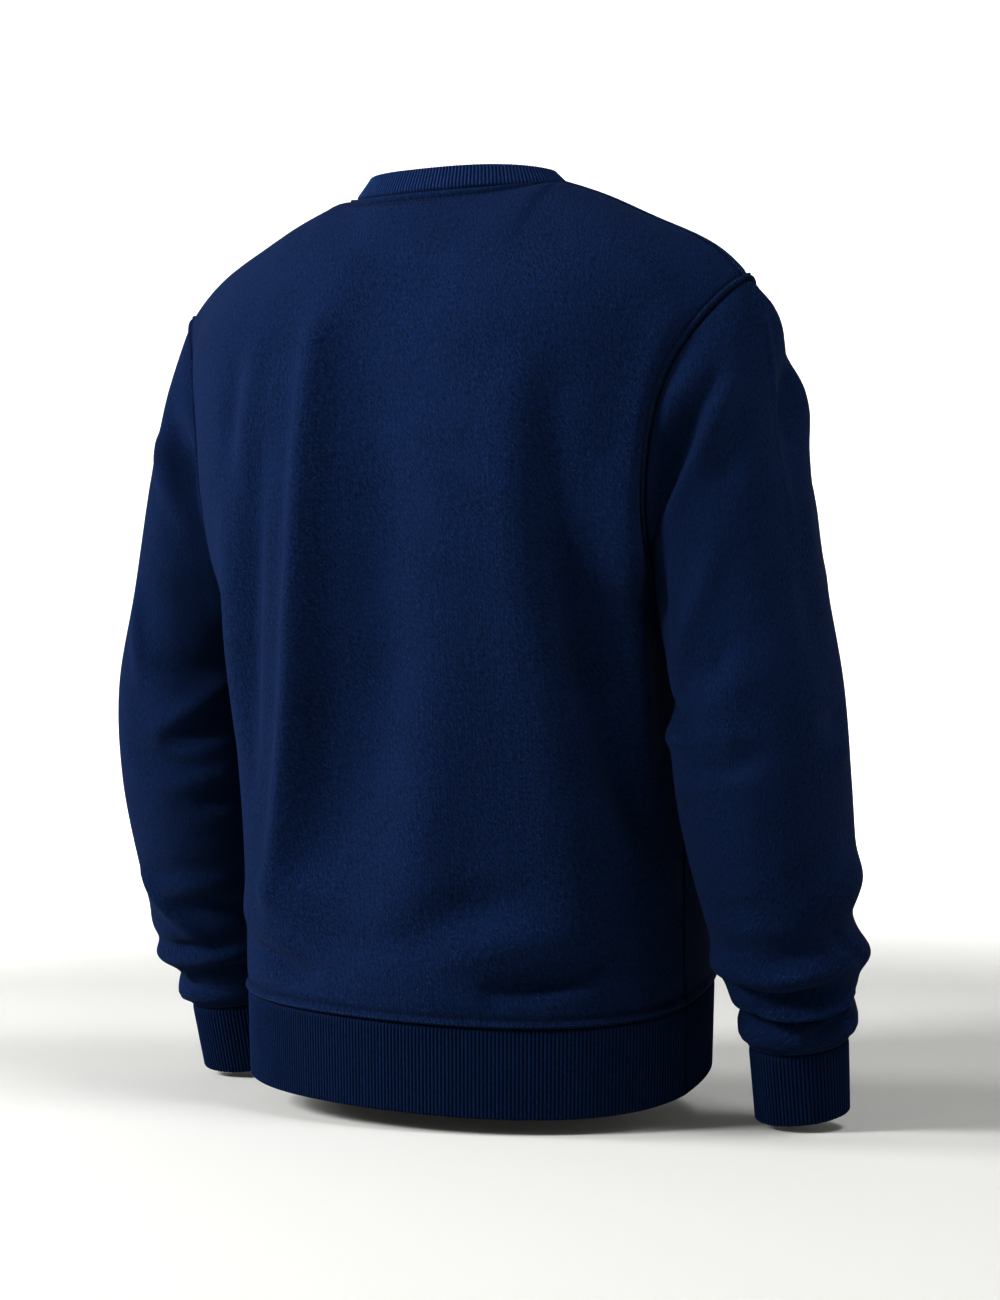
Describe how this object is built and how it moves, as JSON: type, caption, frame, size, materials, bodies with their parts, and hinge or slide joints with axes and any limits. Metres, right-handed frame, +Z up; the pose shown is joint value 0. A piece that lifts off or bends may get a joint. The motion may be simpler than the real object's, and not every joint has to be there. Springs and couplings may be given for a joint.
{
  "type": "crewneck sweatshirt",
  "caption": "Plain navy crewneck sweatshirt in its worn form, with set-in sleeves gathered above the cuffs, a ribbed collar, ribbed cuffs and a wide ribbed hem.",
  "frame": {"origin": "middle of the neck opening, level with the high points of the shoulders beside the neck", "axes": "+Z up along the body, -Y out of the chest so that the front faces -Y, +X towards the wearer's left"},
  "size_m": [0.6345, 0.3362, 0.6911],
  "materials": {
    "fleece": "matte",
    "rib": "matte"
  },
  "bodies": {
    "root": {"back_panel": "fleece", "front_panel": "fleece", "left_sleeve": "fleece", "right_sleeve": "fleece", "neck_rib": "rib", "hem_rib_back": "rib", "hem_rib_front": "rib", "left_cuff": "rib", "right_cuff": "rib"}
  },
  "joints": []
}
